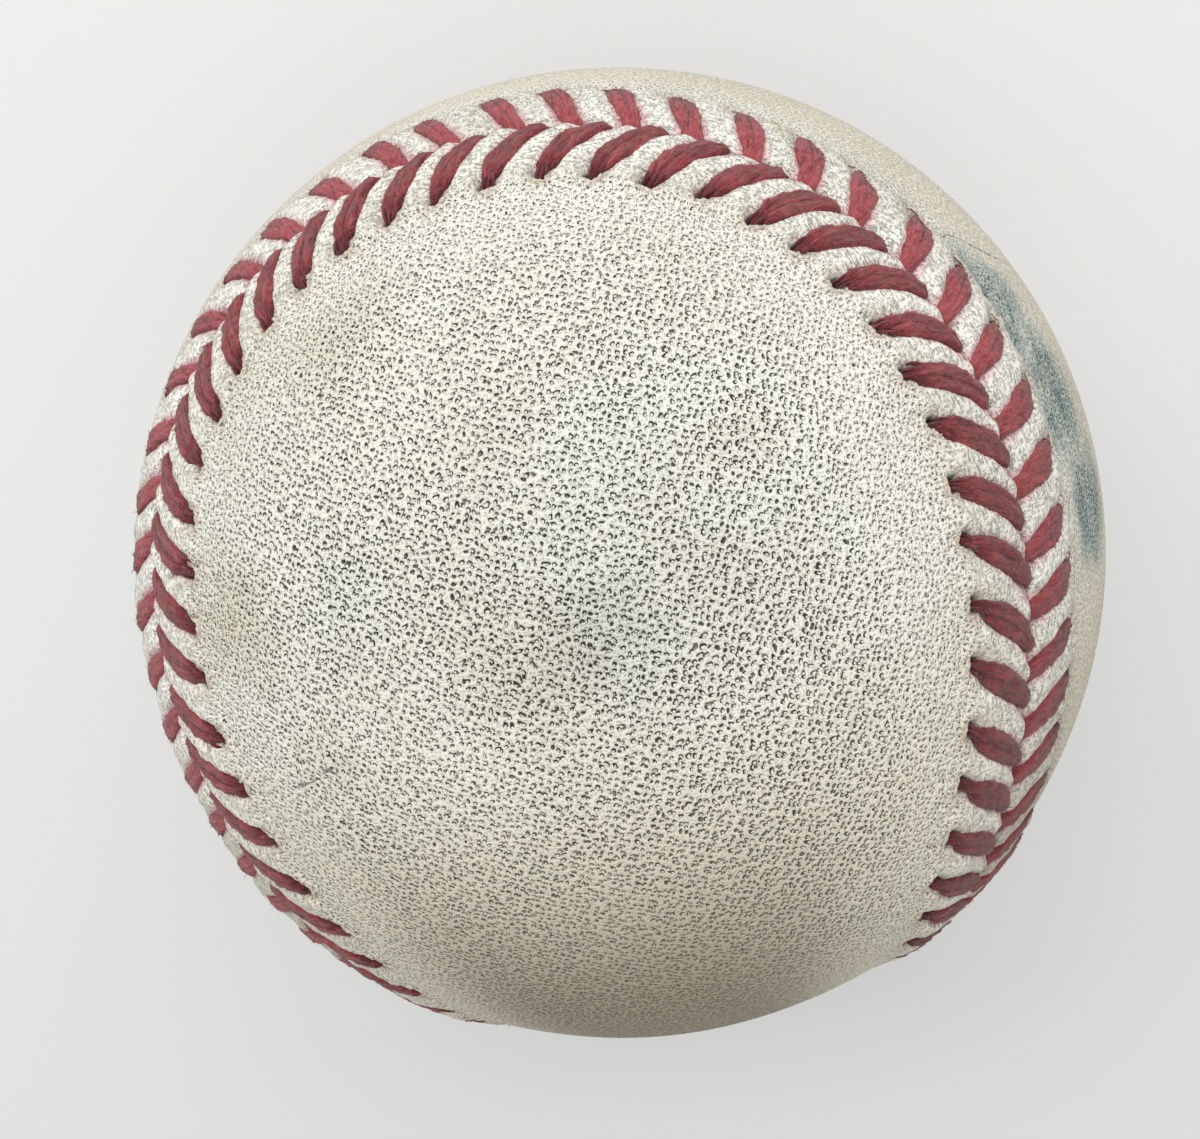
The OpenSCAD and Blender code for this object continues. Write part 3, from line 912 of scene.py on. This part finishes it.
def part_plies(side, middle, tangent, flat_way, strand_half, thick, marks, draw):
    """Plies that part from a strand and dive into the hole one by one: middle line, the ways
    across and up, thickness, and the marks of the place they start from."""
    count = 4 if side < 0 else 2
    plies = []
    for k in range(count):
        r = 3 + int(draw.integers(0, 2))
        sky = unit(middle[r])
        level = unit(tangent[r] - sky * (tangent[r] @ sky))
        off = ((2 * k + 1) / count - 1 + draw.normal(0, 0.12)) * strand_half[r] * 0.85
        root = middle[r] + flat_way[r] * off + sky * thick[r] * draw.uniform(0.35, 0.75)
        reach = draw.uniform(0.6, 1.15) * (1.0 if side < 0 else 0.7)
        slip = flat_way[r] * draw.normal(-0.06, 0.14)
        spine = root + (slip - level * reach) * ply_shares - sky * ply_drops
        plies.append((spine, flat_way[r], sky, draw.uniform(0.085, 0.135), *(mark[r, 0] for mark in marks)))
    return plies


def pick_fibres(ring, outward, tangent, odds, marks, draw):
    """Loose fibres of a strand, short ones all along and a few long ones at the hole: roots,
    ways, lengths and the marks of the places they grow from."""
    hairs = []
    for count, low, high, reach, back in (
            (54, 3, strand_rings - 2, (0.10, 0.34), 0.9),
            (6, 2, 7, (0.2, 0.6), 1.6)):
        r = draw.integers(low, high, count)
        c = draw.choice(strand_corners, count, p=odds)
        lean = draw.uniform(-back, back if low > 2 else 0.0, count)[:, None]
        ways = unit(outward[r, c] * 0.7 + tangent[r] * lean + draw.normal(0, 0.3, (count, 3)))
        long = reach[0] + (reach[1] - reach[0]) * draw.random(count) ** 2
        hairs.append((ring[r, c] - outward[r, c] * 0.02, ways, long, *(mark[r, c] for mark in marks)))
    return hairs


def thread_strands(side, which, name, draw, hairs, plies):
    """One of the two strands of every leg on a side: which is -1 for the rear one and 1 for
    the front one. Its loose fibres are added to hairs, and its parted plies to plies."""
    points, faces, grain, wear, lot = [], [], [], [], []
    t = np.linspace(0, 1, strand_rings)
    thick = np.interp(t, leg_forms[side][0], leg_forms[side][2])
    phi = np.arange(strand_corners) * 2 * np.pi / strand_corners
    ring_x, ring_z = (np.sign(wave) * np.abs(wave) ** 0.74 for wave in (np.cos(phi), np.sin(phi)))
    edge_odds = (0.25 + np.cos(phi) ** 2) * (np.sin(phi) > -0.15)
    last, tip = (strand_rings - 1) * strand_corners, strand_rings * strand_corners
    for i in range(stitch_count):
        course = strand_course(side, which, i, t, draw)
        half, strand_half, off_middle, middle, tangent, flat_way, upward = course
        length = run_length(middle)
        ridge = 1 + 0.035 * np.sin(5 * phi[None, :] - length[:, None] * 0.9 + draw.uniform(0, 6))
        x = ring_x * strand_half[:, None] * ridge
        z = ring_z * thick[:, None] * ridge
        ring = middle[:, None, :] + x[..., None] * flat_way[:, None, :] + z[..., None] * upward[:, None, :]
        outward = unit(ring - middle[:, None, :])
        ring = ring + outward * (0.035 * swell(ring, 0.55, 71) + 0.02 * swell(ring, 0.3, 73))[..., None]
        base = i * (tip + 2)
        points += [ring.reshape(-1, 3), middle[[0, -1]]]
        faces += tube_faces(base, strand_rings, strand_corners, capped=False)
        for k in range(strand_corners):
            m = (k + 1) % strand_corners
            faces.append([base + tip, base + m, base + k])
            faces.append([base + tip + 1, base + last + k, base + last + m])
        luck, shift = draw.random(), draw.uniform(0, 50, 3)
        lengths, shares = (np.repeat(values[:, None], strand_corners, 1) for values in (length, t))
        across = (x + off_middle[:, None]) / half[:, None]
        marks = (np.stack([x + 0.2 * lengths, z, lengths], -1) + shift,
                 np.stack([lengths, (ring_z + 1) / 2 + 0 * x, across], -1),
                 np.stack([np.full_like(x, luck), shares, np.zeros_like(x)], -1))
        for kept, values in zip((grain, wear, lot), marks):
            kept += [values.reshape(-1, 3), values[[0, -1], 0]]
        plies += part_plies(side, middle, tangent, flat_way, strand_half, thick, marks, draw)
        hairs += pick_fibres(ring, outward, tangent, edge_odds / edge_odds.sum(), marks, draw)
    return thread_piece(name, points, faces, grain, wear, lot)


def loose_fibres(name, hairs, draw):
    """Thin tapered fibres, each bent once, with three corners."""
    roots, ways, long, local, worn, lots = (np.concatenate(part) for part in zip(*hairs))
    side_a = unit(np.cross(ways, draw.normal(size=ways.shape)))
    side_b = np.cross(ways, side_a)
    bend = side_a * (long * draw.uniform(0.05, 0.3, len(long)))[:, None]
    points = []
    for share, thick in ((0.0, 0.021), (0.55, 0.016)):
        for turn in (0.0, 2 * np.pi / 3, 4 * np.pi / 3):
            points.append(roots + ways * (long * share)[:, None] + bend * (share > 0)
                          + thick * (math.cos(turn) * side_a + math.sin(turn) * side_b))
    points.append(roots + ways * long[:, None])
    points = np.stack(points, 1)
    faces = []
    for base in range(0, 7 * len(roots), 7):
        for k in range(3):
            a, b = base + k, base + (k + 1) % 3
            faces += [[a, b, b + 3, a + 3], [a + 3, b + 3, base + 6]]
    marks = (np.repeat(values[:, None], 7, 1) for values in (local, worn, lots))
    return thread_piece(name, points, faces, *marks)


def parted_plies(name, plies):
    """The thin plies at the needle holes, each a short tapered tube."""
    corners, rings = 6, len(ply_shares)
    phi = np.arange(corners) * 2 * np.pi / corners
    points, faces, spread = [], [], ([], [], [])
    for spine, beside, up, thick, *marks in plies:
        faces += tube_faces(len(points) * rings * corners, rings, corners)
        shape = np.array([0.8, 1.0, 0.95, 0.7, 0.3])[:, None, None] * thick
        ring = spine[:, None] + shape * (np.cos(phi)[:, None] * beside + np.sin(phi)[:, None] * up)
        points.append(ring.reshape(-1, 3))
        slide, shade = np.zeros((rings, corners, 3)), np.zeros((rings, corners, 3))
        slide[..., 0], slide[..., 2] = np.cos(phi) * thick, -0.8 * ply_shares
        shade[..., 0] = -0.7 * ply_shares
        for kept, values in zip(spread, (marks[0] + slide, marks[1] + shade, marks[2] + 0 * slide)):
            kept.append(values.reshape(-1, 3))
    return thread_piece(name, points, faces, *spread)


def thread_finish(name, pieces, side):
    """Cotton fibres with streaks along them and dusty wear, dirt and painted shade where a strand dives, and
    painted shade in the furrow and towards the ball's lower right.
    """
    tree, shader = new_finish(name, pieces, Roughness=0.85, Specular_IOR_Level=0.2, Sheen_Weight=0.25)
    grain = from_points(tree, "grain")
    lots = apart(from_points(tree, "lot"))
    length, top, across = apart(from_points(tree, "wear"))
    fibre = ramp(noise(stretched(grain, (6, 6, 1.3)), 1.7, 3.0, 0.6), 0.32, 0.68)
    streaks = noise(stretched(grain, (3.2, 3.2, 0.5)), 1.0, 3.0, 0.65)
    patches = noise(grain, 1.6, 3.0, 0.6)
    nap = noise(grain, 16.0, 2.0, 0.6)
    if side < 0:
        bright = blend(fibre, (0.15, 0.012, 0.016, 1), (0.37, 0.048, 0.056, 1))
        dusty = blend(fibre, (0.11, 0.025, 0.025, 1), (0.24, 0.072, 0.066, 1))
        worn = times(ramp(top, 0.55, 0.9), ramp(length, 0.9, 2.4),
                     ramp(patches, 0.38, 0.56), ramp(lots[0], 0.0, 1.0, 0.65, 1.0))
        hole_dirt_and_shade = ramp(length, 0.5, 1.8, 0.9, 0.0)
    else:
        bright = blend(fibre, (0.25, 0.026, 0.034, 1), (0.50, 0.092, 0.106, 1))
        dusty = blend(fibre, (0.11, 0.030, 0.030, 1), (0.31, 0.105, 0.098, 1))
        worn = times(ramp(top, 0.4, 0.8), ramp(length, 1.6, 3.4, 1.0, 0.0),
                     ramp(patches, 0.35, 0.6, 0.5, 1.0))
        hole_dirt_and_shade = ramp(length, 0.5, 1.2, 0.8, 0.0)
    # painted shade in the furrow between the two strands, and painted shade that grows towards the ball's
    # lower right
    furrow_shade = times(ramp(sums("ABSOLUTE", across), 0.03, 0.15, 1.0, 0.0),
                   ramp(lots[1], 0.3, 0.8, 0.85, 0.3), ramp(patches, 0.4, 0.6, 0.4, 1.0))
    right, up, _ = apart(in_mm(tree))
    low_right_painted_shade = times(ramp(up, 30.0, -20.0), ramp(right, 0.0, 26.0, 0.1, 0.5))
    paint(shader, coats(
        bright,
        (worn, dusty),
        (ramp(patches, 0.52, 0.72, 0.0, 0.55), (0.42, 0.085, 0.10, 1)),
        # dirt and painted shade: darker towards the hole end where a strand dives
        (times(hole_dirt_and_shade, ramp(fibre, 0, 1, 1.0, 0.75)), (0.075, 0.005, 0.009, 1)),
        (ramp(streaks, 0.47, 0.34, 0.0, 0.65), (0.060, 0.008, 0.011, 1)),
        (ramp(streaks, 0.53, 0.68, 0.0, 0.5), (0.50, 0.115, 0.13, 1)),
        # painted shade: a dark line in the furrow between the two strands
        (furrow_shade, (0.10, 0.010, 0.016, 1)),
        (ramp(nap, 0.48, 0.75, 0.0, 0.5), (0.42, 0.15, 0.155, 1)),
        # painted shade: the thread is darkened towards the ball's lower right
        (low_right_painted_shade, (0.075, 0.020, 0.016, 1))))
    raise_surface(shader, added(times(fibre, 0.6), times(nap, 0.4)), 0.07 * mm)


draw = np.random.default_rng(23)
for side, letter in ((-1, "a"), (1, "b")):
    hairs, plies = [], []
    threads = [thread_strands(side, which, f"thread_{letter}_{word}", draw, hairs, plies)
               for which, word in ((-1, "rear"), (1, "front"))]
    threads.append(loose_fibres(f"thread_{letter}_fibres", hairs, draw))
    threads.append(parted_plies(f"thread_{letter}_plies", plies))
    for piece in threads:
        ride_as(piece, f"stitches_{letter}")
    thread_finish(f"red_thread_finish_{letter}", threads, side)

# Floor, light, camera
# The ball lies on a plain pale floor, below a broad soft lamp.

floor_corners = [(x, y, -ball_r * mm) for x, y in ((-2, -2), (2, -2), (2, 2), (-2, 2))]
floor_mesh = bpy.data.meshes.new("floor")
floor_mesh.from_pydata(floor_corners, [], [(0, 1, 2, 3)])
floor = bpy.data.objects.new("floor", floor_mesh)
bpy.context.scene.collection.objects.link(floor)
tree, shader = new_finish("floor_finish", [floor], Roughness=0.95, Specular_IOR_Level=0.1)
seen = put("LightPath", tree=tree).outputs
direct = most(*(seen[f"Is {kind} Ray"] for kind in ("Camera", "Glossy", "Transmission")))
paint(shader, blend(direct, (0.32, 0.32, 0.31, 1), (0.78, 0.78, 0.77, 1)))

# The camera as fitted to the photo: distance in ball radii, focal length and shifts in pixels
photo_width = 1200
camera_right = Vector((0.97036669, -0.236036, -0.05172511))
camera_up = Vector((0.20646837, 0.92112662, -0.32999479))
camera_back = Vector((0.12553602, 0.30953635, 0.94256456))
camera = bpy.data.objects.new("camera", bpy.data.cameras.new("camera"))
bpy.context.scene.collection.objects.link(camera)
aim = Matrix((camera_right, camera_up, camera_back)).transposed()
camera.matrix_world = Matrix.Translation(camera_back * 2.65 * ball_r * mm) @ aim.to_4x4()
camera.data.sensor_width = 36
camera.data.lens = 36 * 1192.7 / photo_width
camera.data.shift_x = -20.5 / photo_width
camera.data.shift_y = -17 / photo_width
camera.data.clip_start = 0.005
bpy.context.scene.camera = camera


def lamp(name, way, distance, width, height, power):
    light = bpy.data.objects.new(name, bpy.data.lights.new(name, "AREA"))
    light.data.shape = "RECTANGLE"
    light.data.size, light.data.size_y = width, height
    light.data.energy = power
    bpy.context.scene.collection.objects.link(light)
    light.location = way.normalized() * distance
    light.rotation_euler = way.to_track_quat("Z", "Y").to_euler()


lamp("key_lamp", camera_back * 0.84 + camera_up * 0.50 - camera_right * 0.17, 0.6, 1.0, 0.3, 3.0)
world = bpy.data.worlds.new("studio")
bpy.context.scene.world = world
world.use_nodes = True
world.node_tree.nodes["Background"].inputs["Color"].default_value = (1, 1, 1, 1)
world.node_tree.nodes["Background"].inputs["Strength"].default_value = 0.71
bpy.context.scene.view_settings.view_transform = "Standard"
